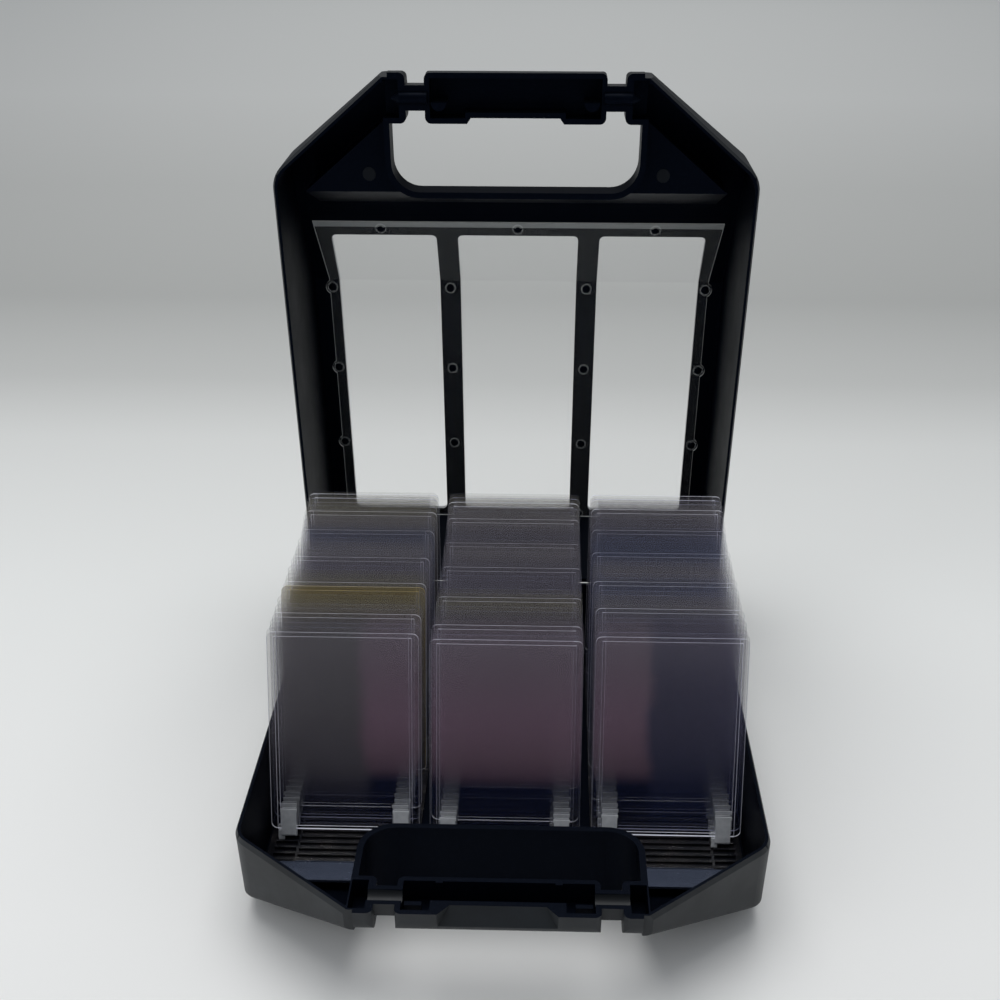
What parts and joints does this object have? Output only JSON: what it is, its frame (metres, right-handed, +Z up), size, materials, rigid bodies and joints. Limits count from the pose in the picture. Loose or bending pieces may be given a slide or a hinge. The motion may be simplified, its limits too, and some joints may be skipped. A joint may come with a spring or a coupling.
{
  "type": "hinged carry case for card sleeves",
  "caption": "Hinged carry case with a windowed lid and split handle, holding columns of clear card sleeves that tilt on clip feet in ridged racks.",
  "frame": {"origin": "centre of the footprint of the whole open case, on the table the base stands on", "axes": "+Z up, +X to the viewer's right along the hinge, +Y towards the hinge and the standing lid; the handle is at -Y"},
  "size_m": [0.248, 0.369, 0.333],
  "materials": {
    "black_abs": "fine matte texture outside, glossy inside",
    "rack_plastic": "semi-gloss black",
    "clear_pane": "clear polished acrylic",
    "clear_sleeve": "clear moulded plastic",
    "foot_plastic": "translucent milky white",
    "pin_steel": "bright steel wire"
  },
  "bodies": {
    "base": {"base_shell": "black_abs", "hinge_pins": "pin_steel", "index_rack_left": "rack_plastic", "index_rack_centre": "rack_plastic", "index_rack_right": "rack_plastic", "left_sleeve_stack": "clear_sleeve", "left_feet_stack": "foot_plastic", "centre_sleeve_stack": "clear_sleeve", "centre_feet_stack": "foot_plastic", "right_sleeve_stack": "clear_sleeve", "right_feet_stack": "foot_plastic"},
    "lid": {"lid_shell": "black_abs", "window_pane": "clear_pane", "pane_rivets": "black_abs"},
    "left_flip_1": {"left_sleeve_1": "clear_sleeve", "left_feet_1": "foot_plastic"},
    "left_flip_2": {"left_sleeve_2": "clear_sleeve", "left_feet_2": "foot_plastic"},
    "left_flip_3": {"left_sleeve_3": "clear_sleeve", "left_feet_3": "foot_plastic"},
    "left_flip_4": {"left_sleeve_4": "clear_sleeve", "left_feet_4": "foot_plastic"},
    "left_flip_5": {"left_sleeve_5": "clear_sleeve", "left_feet_5": "foot_plastic"},
    "centre_flip_1": {"centre_sleeve_1": "clear_sleeve", "centre_feet_1": "foot_plastic"},
    "centre_flip_2": {"centre_sleeve_2": "clear_sleeve", "centre_feet_2": "foot_plastic"},
    "centre_flip_3": {"centre_sleeve_3": "clear_sleeve", "centre_feet_3": "foot_plastic"},
    "centre_flip_4": {"centre_sleeve_4": "clear_sleeve", "centre_feet_4": "foot_plastic"},
    "centre_flip_5": {"centre_sleeve_5": "clear_sleeve", "centre_feet_5": "foot_plastic"},
    "right_flip_1": {"right_sleeve_1": "clear_sleeve", "right_feet_1": "foot_plastic"},
    "right_flip_2": {"right_sleeve_2": "clear_sleeve", "right_feet_2": "foot_plastic"},
    "right_flip_3": {"right_sleeve_3": "clear_sleeve", "right_feet_3": "foot_plastic"},
    "right_flip_4": {"right_sleeve_4": "clear_sleeve", "right_feet_4": "foot_plastic"},
    "right_flip_5": {"right_sleeve_5": "clear_sleeve", "right_feet_5": "foot_plastic"}
  },
  "joints": [
    {"name": "lid_hinge", "type": "hinge", "parent": "base", "child": "lid", "pos_m": [0, 0.0985, 0.05], "axis": [1, 0, 0], "range_deg": [0, 90]},
    {"name": "left_tilt_1", "type": "hinge", "parent": "base", "child": "left_flip_1", "pos_m": [-0.082, -0.088, 0.0052], "axis": [1, 0, 0], "range_deg": [0, 20]},
    {"name": "left_tilt_2", "type": "hinge", "parent": "base", "child": "left_flip_2", "pos_m": [-0.082, -0.0835, 0.0052], "axis": [1, 0, 0], "range_deg": [0, 20]},
    {"name": "left_tilt_3", "type": "hinge", "parent": "base", "child": "left_flip_3", "pos_m": [-0.082, -0.079, 0.0052], "axis": [1, 0, 0], "range_deg": [0, 20]},
    {"name": "left_tilt_4", "type": "hinge", "parent": "base", "child": "left_flip_4", "pos_m": [-0.082, -0.0745, 0.0052], "axis": [1, 0, 0], "range_deg": [0, 20]},
    {"name": "left_tilt_5", "type": "hinge", "parent": "base", "child": "left_flip_5", "pos_m": [-0.082, -0.07, 0.0052], "axis": [1, 0, 0], "range_deg": [0, 20]},
    {"name": "centre_tilt_1", "type": "hinge", "parent": "base", "child": "centre_flip_1", "pos_m": [0, -0.0925, 0.0052], "axis": [1, 0, 0], "range_deg": [0, 20]},
    {"name": "centre_tilt_2", "type": "hinge", "parent": "base", "child": "centre_flip_2", "pos_m": [0, -0.088, 0.0052], "axis": [1, 0, 0], "range_deg": [0, 20]},
    {"name": "centre_tilt_3", "type": "hinge", "parent": "base", "child": "centre_flip_3", "pos_m": [0, -0.0835, 0.0052], "axis": [1, 0, 0], "range_deg": [0, 20]},
    {"name": "centre_tilt_4", "type": "hinge", "parent": "base", "child": "centre_flip_4", "pos_m": [0, -0.079, 0.0052], "axis": [1, 0, 0], "range_deg": [0, 20]},
    {"name": "centre_tilt_5", "type": "hinge", "parent": "base", "child": "centre_flip_5", "pos_m": [0, -0.0745, 0.0052], "axis": [1, 0, 0], "range_deg": [0, 20]},
    {"name": "right_tilt_1", "type": "hinge", "parent": "base", "child": "right_flip_1", "pos_m": [0.082, -0.088, 0.0052], "axis": [1, 0, 0], "range_deg": [0, 20]},
    {"name": "right_tilt_2", "type": "hinge", "parent": "base", "child": "right_flip_2", "pos_m": [0.082, -0.0835, 0.0052], "axis": [1, 0, 0], "range_deg": [0, 20]},
    {"name": "right_tilt_3", "type": "hinge", "parent": "base", "child": "right_flip_3", "pos_m": [0.082, -0.079, 0.0052], "axis": [1, 0, 0], "range_deg": [0, 20]},
    {"name": "right_tilt_4", "type": "hinge", "parent": "base", "child": "right_flip_4", "pos_m": [0.082, -0.0745, 0.0052], "axis": [1, 0, 0], "range_deg": [0, 20]},
    {"name": "right_tilt_5", "type": "hinge", "parent": "base", "child": "right_flip_5", "pos_m": [0.082, -0.07, 0.0052], "axis": [1, 0, 0], "range_deg": [0, 20]}
  ],
  "couplings": [
    {"joint": "left_tilt_2", "follows": "left_tilt_1", "ratio": 1},
    {"joint": "left_tilt_3", "follows": "left_tilt_1", "ratio": 1},
    {"joint": "left_tilt_4", "follows": "left_tilt_1", "ratio": 1},
    {"joint": "left_tilt_5", "follows": "left_tilt_1", "ratio": 1},
    {"joint": "centre_tilt_2", "follows": "centre_tilt_1", "ratio": 1},
    {"joint": "centre_tilt_3", "follows": "centre_tilt_1", "ratio": 1},
    {"joint": "centre_tilt_4", "follows": "centre_tilt_1", "ratio": 1},
    {"joint": "centre_tilt_5", "follows": "centre_tilt_1", "ratio": 1},
    {"joint": "right_tilt_2", "follows": "right_tilt_1", "ratio": 1},
    {"joint": "right_tilt_3", "follows": "right_tilt_1", "ratio": 1},
    {"joint": "right_tilt_4", "follows": "right_tilt_1", "ratio": 1},
    {"joint": "right_tilt_5", "follows": "right_tilt_1", "ratio": 1}
  ]
}
